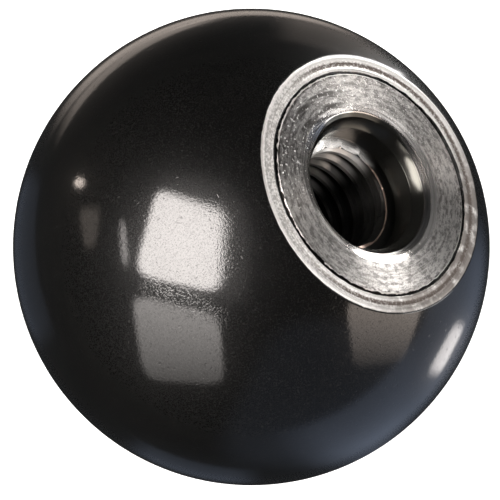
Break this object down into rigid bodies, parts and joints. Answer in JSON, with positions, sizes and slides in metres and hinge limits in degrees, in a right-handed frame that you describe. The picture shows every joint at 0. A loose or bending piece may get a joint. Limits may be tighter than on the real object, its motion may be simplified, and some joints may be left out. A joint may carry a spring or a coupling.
{
  "type": "ball knob",
  "caption": "Round black ball knob with a flat landing and a moulded-in turned steel insert that has a counterbored, blind tapped hole.",
  "frame": {"origin": "centre of the ball, on the axis of the tapped hole", "axes": "+Z along the tapped hole, out of its mouth, square to the landing; X and Y are free, because the knob is round"},
  "size_m": [0.04, 0.04, 0.0367],
  "materials": {
    "black_moulding": "moulded and polished to a high gloss, with the landing turned to a pale speckled satin",
    "turned_steel": "fine turned rings round the axis"
  },
  "bodies": {
    "root": {"ball": "black_moulding", "threaded_insert": "turned_steel"}
  },
  "joints": []
}
